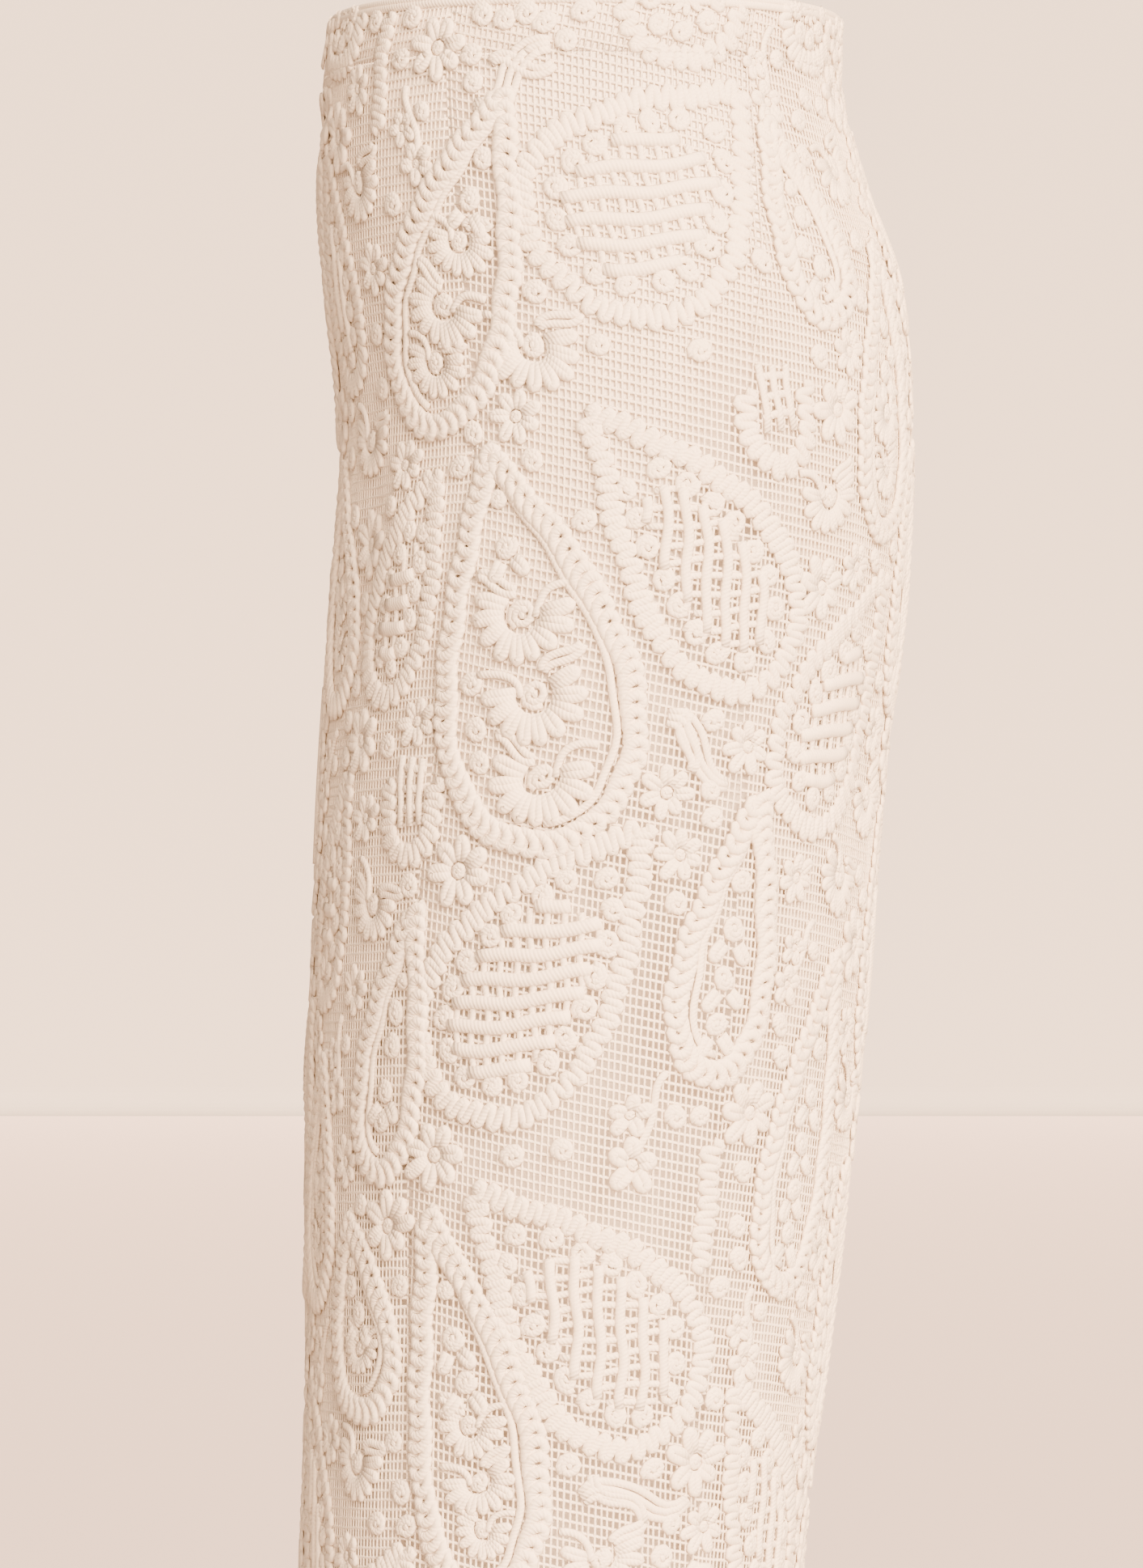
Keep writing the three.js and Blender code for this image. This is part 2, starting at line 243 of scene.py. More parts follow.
def value_at(table, name, z):
    """A column of a table at heights z, on a smooth curve through its rows."""
    heights = np.array([row["z"] for row in table], float)
    column = np.array([row[name] for row in table], float)
    bends = slopes(heights, column)
    i = np.clip(np.searchsorted(-heights, -np.asarray(z, float)) - 1, 0, len(table) - 2)
    span = heights[i + 1] - heights[i]
    t = (z - heights[i]) / span
    start_bend, end_bend = bends[i] * span, bends[i + 1] * span
    rise = column[i + 1] - column[i]
    square = 3 * rise - 2 * start_bend - end_bend
    cube = start_bend + end_bend - 2 * rise
    return column[i] + t * (start_bend + t * (square + t * cube))


def section_at(turn, z):
    """Points of the smooth outline in millimetres, and their outward directions."""
    half_width = value_at(OUTLINE, "half_width", z)
    front, back = value_at(OUTLINE, "front", z), value_at(OUTLINE, "back", z)
    depth, middle = (front + back) / 2, (back - front) / 2
    c, s = np.cos(np.radians(turn)), np.sin(np.radians(turn))
    x = half_width * c * (1 + FULLNESS * s * s)
    y = middle + depth * s * (1 + FULLNESS * c * c)
    along_x = -half_width * s * (1 + FULLNESS * (s * s - 2 * c * c))
    along_y = depth * c * (1 + FULLNESS * (c * c - 2 * s * s))
    length = np.hypot(along_x, along_y)
    points = np.stack([x, y, z + 0 * x], axis=-1)
    outward = np.stack([along_y / length, -along_x / length, 0 * x], axis=-1)
    return points, outward


def rate_at(turn, z):
    """Millimetres along the skirt for each degree of turn."""
    ahead, _ = section_at(np.asarray(turn) + 0.5, np.asarray(z, float))
    behind, _ = section_at(np.asarray(turn) - 0.5, np.asarray(z, float))
    return np.linalg.norm(ahead - behind, axis=-1)


for fold in [*FOLDS, *HOLLOWS]:
    fold["rate"] = float(rate_at(fold["turn"], fold["z"]))


def fold_relief(turn, z, folds=FOLDS):
    """How far the worn cloth stands out or in at each place, in millimetres."""
    relief = np.zeros(np.broadcast(turn, z).shape)
    for fold in folds:
        nearest = (np.asarray(turn) - fold["turn"] + HALF_TURN) % FULL_TURN - HALF_TURN
        aside, up = nearest * fold["rate"], z - fold["z"]
        lean = math.radians(fold["lean"])
        across = aside * math.cos(lean) - up * math.sin(lean)
        along = aside * math.sin(lean) + up * math.cos(lean)
        reach = np.exp(-((across / fold["width"]) ** 2) - (along / (fold["length"] / 2)) ** 2)
        relief += fold["depth"] * reach
    return relief


def skin(turn, z, out):
    """Points of the skirt, out from its outline and over its folds, with their outward directions."""
    turn, z = np.broadcast_arrays(np.asarray(turn, float), np.asarray(z, float))
    points, outward = section_at(turn, z)
    lift = out + fold_relief(turn, z)
    return points + outward * np.asarray(lift)[..., None], outward


def seam_turns(z):
    """The turns of the seams at heights z, from the front's right-hand one all round to itself."""
    front, back = value_at(SEAMS, "front", z), value_at(SEAMS, "back", z)
    middle = BACK_TURN + 0 * z
    return [-HALF_TURN - front, front, back, middle, HALF_TURN - back, HALF_TURN - front]


# Each panel runs from the seam of its number to the next one, and the grain is the slope of its rows
PANELS = [
    {"name": "front_panel", "seam": 0, "grain": 0.05},
    {"name": "side_panel_left", "seam": 1, "grain": -0.2},
    {"name": "back_panel_left", "seam": 2, "grain": -0.12},
    {"name": "back_panel_right", "seam": 3, "grain": 0.12},
    {"name": "side_panel_right", "seam": 4, "grain": 0.2},
]
CLOTH_TOP = -0.8
BAND_EDGE = -BAND_HEIGHT
PANEL_TOP = BAND_EDGE - 0.1
PANEL_HEM = -LENGTH + 1
ROW_MARGIN = 0.4
UPRIGHT_MARGIN = 1.6
UPRIGHT_STEP = 18.0
ROW_STEP = 12.0
UPRIGHT_SWAY = 0.22
ROW_SWAY = 0.18
WIDTH_STEPS = 9
SEAM_STEPS = 64
RING_STEPS = 180
SHORTEST = 0.4


def panel_edges(panel, z):
    """The turns of a panel's two seams at heights z."""
    turns = seam_turns(z)
    return turns[panel["seam"]], turns[panel["seam"] + 1]


def panel_turn(panel, z, share):
    """The turn at a share of a panel's width, at heights z."""
    start, end = panel_edges(panel, z)
    return start + (end - start) * share


def line_parts(line, room):
    """The parts of a line where there is room, cut where the room ends."""
    turn, z, out, width = line
    inside = room > 0
    edges = np.flatnonzero(inside[1:] != inside[:-1])
    cuts = edges + room[edges] / (room[edges] - room[edges + 1])
    places = np.r_[np.arange(len(z)), cuts]
    order = np.argsort(places, kind="stable")
    kept = np.r_[inside, np.ones(len(cuts), bool)][order]
    columns = (turn, z, np.broadcast_to(out, z.shape))
    turn, z, out = (np.interp(places[order], np.arange(len(column)), column) for column in columns)
    ends = np.flatnonzero(np.diff(np.r_[False, kept, False].astype(int)))
    runs = [slice(a, b) for a, b in zip(ends[::2], ends[1::2]) if b - a > 1]
    parts = [(turn[run], z[run], out[run], width) for run in runs]
    return [part for part in parts if np.ptp(part[0]) + np.ptp(part[1]) > SHORTEST]


def seam_room(line, panel):
    """How far a line's places are inside a panel, in degrees from the nearer seam."""
    turn, z = line[0], line[1]
    start, end = panel_edges(panel, z)
    from_start = (turn - start + HALF_TURN) % FULL_TURN - HALF_TURN
    to_end = (end - turn + HALF_TURN) % FULL_TURN - HALF_TURN
    return np.minimum(from_start, to_end)


def panel_parts(line, panel, margin):
    """The parts of a thread between a panel's two seams, up to a margin in millimetres."""
    turn, z = line[0], line[1]
    room = seam_room(line, panel) * rate_at(turn, z) - margin
    return line_parts(line, np.minimum(room, np.minimum(CLOTH_TOP - z, z - PANEL_HEM)))


def mostly_on(line, panel):
    """True where more of a cord lies on a panel than off it. A cord isn't cut at a seam."""
    return np.mean(seam_room(line, panel) >= 0) > 0.5


def parts_between(lines, top, bottom):
    """The parts of lines between two heights."""
    parts = []
    for line in lines:
        parts += line_parts(line, np.minimum(top - line[1], line[1] - bottom))
    return parts


def added(name, data):
    """A new object in the scene."""
    item = bpy.data.objects.new(name, data)
    bpy.context.collection.objects.link(item)
    return item


# Sections of cords and threads: to the side and up, as shares of the width
CORD_SECTION = np.array([[0.5, 0], [0.4, 0.26], [0, 0.38], [-0.4, 0.26], [-0.5, 0]])
THREAD_SECTION = np.array([[0.5, 0], [0, 0.3], [-0.5, 0], [0, -0.3]])


def swept_mesh(name, lines, section):
    """One mesh of closed bars. Each line is turn, z, out and width along its middle."""
    sides = len(section)
    corner_blocks, quad_blocks, cap_blocks, twist_blocks, base = [], [], [], [], 0
    for turn, z, out, width in lines:
        middle, up = skin(turn, z, out)
        forward = np.gradient(middle, axis=0)
        forward /= np.linalg.norm(forward, axis=1)[:, None] + 1e-9
        aside = np.cross(up, forward)
        aside /= np.linalg.norm(aside, axis=1)[:, None] + 1e-9
        up = np.cross(forward, aside)
        count = len(middle)
        spread = np.broadcast_to(width, (count,))[:, None]
        ring = [middle + spread * (a * aside + b * up) for a, b in section]
        corner_blocks.append(np.stack(ring, axis=1).reshape(-1, 3))
        run = np.r_[0, np.cumsum(np.linalg.norm(np.diff(middle, axis=0), axis=1))]
        twist_blocks.append((run[:, None] / PLY_PITCH + PLY_SLANT * section[None, :, 0]).ravel())
        i = base + np.arange(count - 1)[:, None] * sides
        j = np.arange(sides)[None, :]
        k = (j + 1) % sides
        quad_blocks.append(np.stack([i + j, i + sides + j, i + sides + k, i + k], axis=-1).reshape(-1, 4))
        first = base + np.arange(sides)
        cap_blocks.append(np.stack([first, (first + (count - 1) * sides)[::-1]]))
        base += count * sides
    corners = np.concatenate(corner_blocks) * MM
    quads, caps = np.concatenate(quad_blocks), np.concatenate(cap_blocks)
    mesh = bpy.data.meshes.new(name)
    mesh.vertices.add(len(corners))
    mesh.vertices.foreach_set("co", corners.ravel())
    mesh.loops.add(quads.size + caps.size)
    mesh.loops.foreach_set("vertex_index", np.r_[quads.ravel(), caps.ravel()])
    mesh.polygons.add(len(quads) + len(caps))
    starts = np.r_[np.arange(len(quads)) * 4, quads.size + np.arange(len(caps)) * sides]
    mesh.polygons.foreach_set("loop_start", starts)
    mesh.polygons.foreach_set("use_smooth", np.ones(len(starts), bool))
    mesh.update(calc_edges=True)
    twist = mesh.attributes.new("twist", "FLOAT", "POINT")
    twist.data.foreach_set("value", np.concatenate(twist_blocks))
    return added(name, mesh)


# Flat drawing of motifs


class Path:
    """A flat path with even steps, which can be followed by distance."""

    def __init__(self, points):
        points = np.asarray(points, float)
        run = np.r_[0, np.cumsum(np.hypot(*np.diff(points, axis=0).T))]
        self.length = run[-1]
        self.run = np.linspace(0, self.length, max(int(self.length), 8))
        self.points = np.stack([np.interp(self.run, run, column) for column in points.T], axis=1)
        tangents = np.gradient(self.points, axis=0)
        self.tangents = tangents / (np.linalg.norm(tangents, axis=1)[:, None] + 1e-9)

    def at(self, distance):
        """Points, directions and sides at distances along the path."""
        points = np.stack([np.interp(distance, self.run, column) for column in self.points.T], axis=1)
        ahead = np.stack([np.interp(distance, self.run, column) for column in self.tangents.T], axis=1)
        return points, ahead, np.stack([-ahead[:, 1], ahead[:, 0]], axis=1)


def stroke(points, height, width):
    """A cord drawn flat: its points, how high its foot lies, and its width."""
    points = np.asarray(points, float)
    return points, np.broadcast_to(np.asarray(height, float), (len(points),)), width


def plain(path, height, width):
    """A cord laid straight along a path."""
    distance = np.linspace(0, path.length, max(int(path.length / STRAIGHT_STEP), 3))
    return [stroke(path.at(distance)[0], height, width)]


def rope(path):
    """A cord laid in overlapping loops, each tilted over the one before."""
    loops = max(round(path.length / ROPE_PITCH), 2)
    phase = np.linspace(0, loops, loops * ROPE_STEPS + 1)
    at, ahead, side = path.at(phase * path.length / loops)
    angle = 2 * np.pi * phase[:, None]
    points = at + ROPE_LOOP * (np.cos(angle) * ahead + np.sin(angle) * side)
    return [stroke(points, ROPE_RISE - ROPE_TILT * np.cos(angle[:, 0]), CORD)]


def scallops(path):
    """A cord laid to and fro in close upright loops."""
    waves = max(round(path.length / SCALLOP_PERIOD), 1)
    phase = np.linspace(0, waves, waves * SCALLOP_STEPS + 1)
    angle = 2 * np.pi * phase
    across = SCALLOP_REACH * np.sin(angle)
    distance = phase * path.length / waves - SCALLOP_CURL * np.sin(2 * angle) + SCALLOP_SLANT * across
    at, _, side = path.at(np.clip(distance, 0, path.length))
    return [stroke(at + side * across[:, None], 0.25 + 0.2 * np.sin(angle), FAT_CORD)]


def disc(x, y, radius, start=0.0, width=FINE_CORD):
    """A cord coiled from a small middle into a flat button."""
    share = np.linspace(0, 1, DISC_STEPS)
    angle = start + 2 * np.pi * DISC_TURNS * share
    reach = width * 0.45 + (radius - width * 0.95) * share**0.7
    coil = np.stack([x + reach * np.cos(angle), y + reach * np.sin(angle)], axis=1)
    middle = [(x - 0.3 * width, y), (x, y), (x + 0.3 * width, y)]
    return [stroke(coil, 0.5 - 0.35 * share, width), stroke(middle, 0.45, width)]


def petal(x, y, facing, length, gap, width=FAT_CORD):
    """A fat loop of cord, out and back."""
    t = np.linspace(-1, 1, PETAL_STEPS) * np.pi / 2
    along = length * np.cos(t) ** 0.55
    across = gap * np.sin(t) * (0.7 + 0.6 * np.cos(t))
    c, s = math.cos(facing), math.sin(facing)
    points = np.stack([x + along * c - across * s, y + along * s + across * c], axis=1)
    return [stroke(points, 0.1 + 0.35 * np.cos(t), width)]


def bezier(*corners):
    """Points of the smooth curve that four corner points pull."""
    a, b, c, d = (np.asarray(corner, float) for corner in corners)
    t = np.linspace(0, 1, CURVE_STEPS)[:, None]
    return a * (1 - t) ** 3 + 3 * b * t * (1 - t) ** 2 + 3 * c * t * t * (1 - t) + d * t**3


def leaf(start, end, bulge, cords, width=FINE_CORD):
    """Cords side by side along an S, as a long leaf."""
    start, end = np.asarray(start, float), np.asarray(end, float)
    way = end - start
    side = np.array([-way[1], way[0]]) / (np.linalg.norm(way) + 1e-9)
    path = Path(bezier(start, start + way * 0.3 + side * bulge, start + way * 0.7 - side * bulge, end))
    share = np.linspace(0, 1, LEAF_STEPS)
    at, _, across = path.at(share * path.length)
    spread = np.sin(np.pi * (0.1 + 0.86 * share))[:, None] ** 0.5
    strokes = []
    for i in range(cords):
        shift = (i - (cords - 1) / 2) * width * 1.04
        strokes.append(stroke(at + across * shift * spread, 0.1 + 0.25 * (i % 2), width))
    return strokes


def fan(x, y, size=1.0, petals=9, facing=-90.0, spread=210.0, hand=1):
    """A fan flower: a coiled eye, petals round its lower side, a stem and a curled leaf above it."""
    width = FINE_CORD * min(1, size * 1.1)
    strokes = disc(x, y, DISC * size, start=facing, width=width)
    for i in range(petals):
        angle = math.radians(facing - spread / 2 + spread * i / (petals - 1))
        root = FAN_ROOT * size
        length = (10.6 + 1.3 * math.cos(2 * angle)) * size
        place = (x + root * math.cos(angle), y + root * math.sin(angle))
        strokes += petal(*place, angle, length, 1.4 * size, FAT_CORD * size)
    up = math.radians(facing + HALF_TURN)
    ahead = np.array([math.cos(up), math.sin(up)])
    side = hand * np.array([-math.sin(up), math.cos(up)])
    eye = np.array([x, y])
    start, end = eye + side * 4.6 * size, eye + (ahead * 13 + side * 19) * size
    strokes.append(stroke(bezier(start, start + ahead * 9 * size, end - side * 9 * size, end), 0.6, width))
    base, tip = eye + (ahead * 7 - side * 4) * size, eye + (ahead * 13 - side * 20) * size
    return strokes + leaf(base, tip, 4 * size, 2, width)


def flower(x, y, size, petals=7):
    """A round flower of looped petals."""
    root = FLOWER_ROOT * size
    strokes = disc(x, y, root, width=FINE_CORD * size)
    for i in range(petals):
        angle = 2 * np.pi * (i + 0.3) / petals
        place = (x + root * math.cos(angle), y + root * math.sin(angle))
        length = (9.4 + 1.2 * math.sin(5.0 * i)) * size
        strokes += petal(*place, angle, length, 13.3 / petals * size, 7.7 / petals * FAT_CORD * size)
    return strokes


def sprig(size):
    """A bent stem with a small flower at each end and a disc beside it."""
    stem = bezier((4, 20 * size), (-5, 10 * size), (5, -2 * size), (-5, -14 * size))
    strokes = [stroke(stem, 0.1, FINE_CORD)]
    strokes += flower(-5, -17 * size, 0.74 * size, 5) + flower(-9 * size, 2, 0.6 * size, 5)
    return strokes + disc(10 * size, 4 * size, DISC * size)


def paisley_edge(motif, angle, grow):
    """Outline of a paisley, where the angle is 0 at the tip, grown or shrunk in millimetres."""
    along = (motif["length"] / 2 + grow) * np.cos(angle)
    drop = np.sin(angle) * np.sin(angle / 2) ** TAPER
    height = (1 + np.cos(angle)) / 2
    across = (motif["width"] / 2 + grow) * drop / WIDEST + motif["bend"] * HOOK * motif["width"] * height**2
    return np.stack([across, along], axis=-1)


def edge_path(motif, grow, start=0.02, end=0.98):
    """The part of a paisley's outline between two shares of the way round from its tip."""
    return Path(paisley_edge(motif, 2 * np.pi * np.linspace(start, end, EDGE_STEPS), grow))


def crossing(outline, level):
    """Where a flat outline crosses a level, from its left to its right."""
    there = np.roll(outline, -1, axis=0)
    crosses = (outline[:, 1] - level) * (there[:, 1] - level) < 0
    share = (level - outline[crosses, 1]) / (there[crosses, 1] - outline[crosses, 1])
    ends = outline[crosses, 0] + share * (there[crosses, 0] - outline[crosses, 0])
    return (ends.min(), ends.max()) if len(ends) > 1 else (0, 0)


def bars(outline, slant, pitch, width, height, bow=0.0):
    """Cords across an outline, a pitch apart, each from side to side."""
    c, s = math.cos(slant), math.sin(slant)
    turned = outline @ np.array([[c, -s], [s, c]])
    low, high = turned[:, 1].min(), turned[:, 1].max()
    count = max(round((high - low) / pitch), 1)
    strokes = []
    for i in range(count):
        level = low + (high - low) * (i + 0.5) / count
        left, right = crossing(turned, level)
        if right - left < 2 * width:
            continue
        share = np.linspace(0, 1, max(int((right - left) / STRAIGHT_STEP), 5))
        sag = bow * np.sin(np.pi * share) * (1 - 0.7 * i / count)
        line = np.stack([left + (right - left) * share, level - sag], axis=1)
        strokes.append(stroke(line @ np.array([[c, s], [-s, c]]), height, width))
    return strokes


def cage_paisley(motif):
    """Scallops round a row of discs round a cage of crossing bars."""
    strokes = scallops(edge_path(motif, -SCALLOP_WIDTH / 2))
    small = NARROW_DISCS if motif["width"] < NARROW else 1
    discs = edge_path(motif, -SCALLOP_WIDTH - DISC * small - 0.5, 0.15, 0.85)
    count = max(round(discs.length / (2 * DISC * small + 0.4)), 3)
    places, _, _ = discs.at(np.linspace(0, discs.length, count))
    for i, (x, y) in enumerate(places):
        strokes += disc(x, y, DISC * small * (1 + 0.06 * math.sin(7.0 * i)), start=2.4 * i)
    grow = -SCALLOP_WIDTH - 2 * DISC * small + 2.5
    inner = paisley_edge(motif, 2 * np.pi * np.linspace(0.17, 0.83, CAGE_STEPS), grow)
    level = math.radians(motif["lean"] + 5)
    upright = level + math.pi / 2
    if motif["lean"] < 0:
        strokes += bars(inner, level, UNDER_BAR_PITCH, UNDER_BAR, 0.0)
        return strokes + bars(inner, upright, UPRIGHT_BAR_PITCH, UPRIGHT_BAR, 0.6, BAR_SAG)
    strokes += bars(inner, upright, UNDER_BAR_PITCH, UNDER_BAR, 0.0)
    return strokes + bars(inner, level, LEVEL_BAR_PITCH, LEVEL_BAR, 0.2, BAR_SAG)


def fan_paisley(motif):
    """A rope border with a plain cord inside, and fan flowers one over the other."""
    strokes = rope(edge_path(motif, -ROPE_WIDTH / 2))
    hand = 1 if motif["bend"] > 0 else -1
    start, end = (0.06, 0.5) if hand < 0 else (0.5, 0.94)
    strokes += plain(edge_path(motif, -ROPE_WIDTH - 1.6, start, end), 0.3, FINE_CORD)
    grow = -ROPE_WIDTH - 3
    inner = paisley_edge(motif, 2 * np.pi * np.linspace(0, 1, EDGE_STEPS, endpoint=False), grow)
    y = inner[:, 1].min() + FAN_START
    i = 0
    while True:
        left, right = crossing(inner, y)
        size = min((right - left) / FAN_WIDTH, FAN_LARGEST)
        if size < FAN_SMALLEST or y + 12 * size > inner[:, 1].max():
            break
        turned = hand * (-1) ** i
        strokes += fan((left + right) / 2, y, size, facing=-90 + 10 * turned, hand=turned)
        y += FAN_HEIGHT * size
        i += 1
    y -= 5
    while True:
        left, right = crossing(inner, y)
        room = right - left
        if room < LEAST_ROOM or y + LEAST_ROOM > inner[:, 1].max():
            break
        middle = (left + right) / 2
        radius = min(DISC, room / 2 - 0.5)
        strokes += disc(middle, y, radius, start=y)
        if room > PETAL_ROOM:
            for side in (-1, 1):
                tilt = math.radians(-90 + side * 38)
                strokes += petal(middle + side * 3, y - 6, tilt, 7.5, 1.6)
            y += 6
        y += 2 * radius + 1
    return strokes


def mirrored_place(place):
    """The same place on the other half of the skirt."""
    return {**place, "turn": HALF_TURN - place["turn"]}


def mirrored(motif):
    """The same motif on the other half of the skirt."""
    return {**mirrored_place(motif), "lean": -motif["lean"], "bend": -motif["bend"]}


def laid(strokes, motif):
    """Strokes leaned and laid on the skirt, as lines of turn, z, out and width."""
    rate = float(rate_at(motif["turn"], motif["z"]))
    lean = math.radians(motif["lean"])
    lines = []
    for points, height, width in strokes:
        across, along = points[:, 0], points[:, 1]
        aside = across * math.cos(lean) + along * math.sin(lean)
        up = along * math.cos(lean) - across * math.sin(lean)
        drift = HAND_DRIFT * np.sin(0.21 * up + 0.13 * aside + motif["turn"])
        sway = HAND_DRIFT * np.sin(0.17 * aside - 0.11 * up + motif["z"])
        turn, z = motif["turn"] + (aside + drift) / rate, motif["z"] + up + sway
        lines.append((turn, z, CORD_FOOT + height, width))
    return lines


# Small motifs between the paisleys of the left half and on the middle of the back, each with what differs
# from an upright one
UPRIGHT = {"lean": 0, "bend": 1, "size": 1}
LEFT_FILLERS = [
    {"turn": -17, "z": -149, "size": 1.05, "kind": "fan"},
    {"turn": 13.5, "z": -146, "kind": "disc"},
    {"turn": -30, "z": -470, "lean": 10, "kind": "flower"},
    {"turn": 13, "z": -456, "lean": 6, "kind": "sprig"},
    {"turn": 23.5, "z": -453, "size": 0.9, "kind": "disc"},
    {"turn": -3.8, "z": -466, "kind": "disc"},
    {"turn": 17.5, "z": -308, "lean": -34, "size": 1.05, "kind": "ribbon"},
    {"turn": 17, "z": -608, "lean": -74, "size": 1.3, "kind": "ribbon"},
    {"turn": -15, "z": -34, "lean": 66, "bend": -1, "size": 1.1, "kind": "ribbon"},
    {"turn": 28.5, "z": -164, "lean": -6, "size": 1.05, "kind": "cup"},
    {"turn": 21, "z": -1, "kind": "medallion"},
    {"turn": 58, "z": -1, "size": 0.9, "kind": "medallion"},
    {"turn": 90, "z": -1, "size": 0.8, "kind": "medallion"},
    {"turn": -66, "z": -1, "size": 0.9, "kind": "medallion"},
    {"turn": 41, "z": -240, "size": 0.95, "kind": "flower"},
    {"turn": 26.5, "z": -490, "size": 1.1, "kind": "column"},
    {"turn": -39.5, "z": -322, "kind": "cup"},
    {"turn": -47, "z": -30, "lean": 4, "kind": "column"},
    {"turn": -31, "z": -22, "size": 0.9, "kind": "flower"},
    {"turn": -21, "z": -9, "kind": "disc"},
    {"turn": -16.5, "z": -12, "kind": "disc"},
    {"turn": -12, "z": -9, "kind": "disc"},
    {"turn": -7.5, "z": -13, "kind": "disc"},
    {"turn": -3, "z": -20, "kind": "disc"},
]

# Round places where the net is left open
OPEN_NET = [
    {"turn": 20, "z": -160, "reach": 38},
    {"turn": 4, "z": -44, "reach": 24},
    {"turn": 14, "z": -410, "reach": 34},
    {"turn": 6, "z": -480, "reach": 32},
    {"turn": 36, "z": -262, "reach": 16},
    {"turn": -4, "z": -178, "reach": 26},
]


def cup(size):
    """A round-bottomed cup of scallops with upright bars in it."""
    angles = np.radians(np.linspace(-196, 16, 24))
    rim = np.stack([15 * size * np.cos(angles), -4 + 24 * size * np.sin(angles)], axis=1)
    strokes = scallops(Path(rim))
    for i in range(3):
        x = (i - 1) * 6 * size
        strokes.append(stroke([(x, 13), (x, 4), (x, -6), (x, -15)], 0.4, FINE_CORD))
    for i in range(3):
        y = 8 - 8 * i
        strokes.append(stroke([(-8, y), (0, y + 1), (8, y)], 0, FINE_CORD))
    return strokes


def medallion(size):
    """A half round of scallops and discs, open to the top, with a fan in it."""
    angles = np.radians(np.linspace(-172, -8, 30))
    arc = np.stack([np.cos(angles), np.sin(angles)], axis=1)
    strokes = scallops(Path(arc * 27 * size))
    beads = Path(arc * 15.5 * size)
    for i, (x, y) in enumerate(beads.at(np.linspace(0, beads.length, 5))[0]):
        strokes += disc(x, y, DISC * 0.95, start=2.0 * i)
    return strokes + fan(0, 0, 0.5 * size, petals=5, spread=160)


def filler(motif):
    """The strokes of a small motif, drawn round its middle."""
    kind, size = motif["kind"], motif["size"]
    if kind == "fan":
        return fan(0, 4, size)
    if kind == "flower":
        return flower(0, 0, size)
    if kind == "disc":
        return disc(0, 0, DISC * size)
    if kind == "cup":
        return cup(size)
    if kind == "sprig":
        return sprig(size)
    if kind == "medallion":
        return medallion(size)
    if kind == "column":
        return scallops(Path([(0, 24 * size), (0, -24 * size)]))
    strokes = leaf((-4 * size, 19 * size), (5 * size, -17 * size), 13 * size * motif["bend"], cords=3)
    strokes += leaf((4 * size, 17 * size), (-6 * size, -4 * size), -9 * size * motif["bend"], cords=2)
    return strokes + disc(-3 * size, -15 * size, DISC * 0.9)


# Motifs for the gaps, the largest first, with the reach of each and the least way to the next of its kind
GAP_MOTIFS = [
    {"kind": "fan", "size": 0.9, "reach": 19, "apart": 0},
    {"kind": "sprig", "size": 0.8, "reach": 17.5, "apart": 70},
    {"kind": "flower", "size": 1, "reach": 14, "apart": 0},
    {"kind": "flower", "size": 0.75, "reach": 10.8, "apart": 0},
    {"kind": "disc", "size": 1, "reach": 6, "apart": 13.5},
]
GAP_CLEARANCE = 1.6
GAP_TURN_STEP = 1.5
GAP_HEIGHT_STEP = 3.5
LEAN_RANGE = 50
GOLDEN = 0.618034


def gap_motifs(lines):
    """Small motifs in the gaps that the others leave."""
    cords = np.concatenate([skin(turn[::2], z[::2], 0)[0] for turn, z, _, _ in lines])
    tree = KDTree(len(cords))
    for i, place in enumerate(cords):
        tree.insert(place, i)
    tree.balance()
    turns = np.arange(0, FULL_TURN, GAP_TURN_STEP)
    turns, heights = np.meshgrid(turns, np.arange(-8, -LENGTH + 6, -GAP_HEIGHT_STEP))
    order = np.argsort((np.arange(turns.size) * GOLDEN) % 1)
    turns, heights = turns.ravel()[order], heights.ravel()[order]
    places = skin(turns, heights, 0)[0]
    room = np.array([tree.find(place)[2] for place in places])
    for bare in [*OPEN_NET, *map(mirrored_place, OPEN_NET)]:
        middle = skin(bare["turn"], bare["z"], 0)[0]
        room = np.minimum(room, np.linalg.norm(places - middle, axis=1) - bare["reach"])
    made = []
    for kind in GAP_MOTIFS:
        taken = np.zeros(len(places), bool)
        for i in np.flatnonzero(room > kind["reach"] + GAP_CLEARANCE):
            if taken[i] or room[i] <= kind["reach"] + GAP_CLEARANCE:
                continue
            away = np.linalg.norm(places - places[i], axis=1)
            room = np.minimum(room, away - kind["reach"])
            taken |= away < kind["apart"]
            lean = (len(made) * GOLDEN * FULL_TURN) % LEAN_RANGE - LEAN_RANGE / 2
            made.append({**kind, "turn": turns[i], "z": heights[i], "lean": lean, "bend": 1})
    return made


def draw_motifs():
    """Every cord on the skirt, as lines of turn, z, out and width."""
    large = [*LEFT_PAISLEYS, *map(mirrored, LEFT_PAISLEYS), *FRONT_PAISLEYS]
    left_fillers = [{**UPRIGHT, **place} for place in LEFT_FILLERS]
    off_middle = [place for place in left_fillers if place["turn"] != BACK_TURN]
    fillers = [*left_fillers, *map(mirrored, off_middle)]
    lines = []
    for motif in large:
        draw = cage_paisley if motif["border"] == "scallop" else fan_paisley
        lines += laid(draw(motif), motif)
    for motif in fillers:
        lines += laid(filler(motif), motif)
    for motif in gap_motifs(lines):
        lines += laid(filler(motif), motif)
    return lines


# Pieces


def arc_width(panel, z):
    """A panel's width along the skirt at heights z."""
    shares = np.linspace(0, 1, WIDTH_STEPS)
    start, end = panel_edges(panel, z)
    turns = start[:, None] + (end - start)[:, None] * shares
    points, _ = section_at(turns, z[:, None] + 0 * turns)
    return np.linalg.norm(np.diff(points, axis=1), axis=2).sum(axis=1)


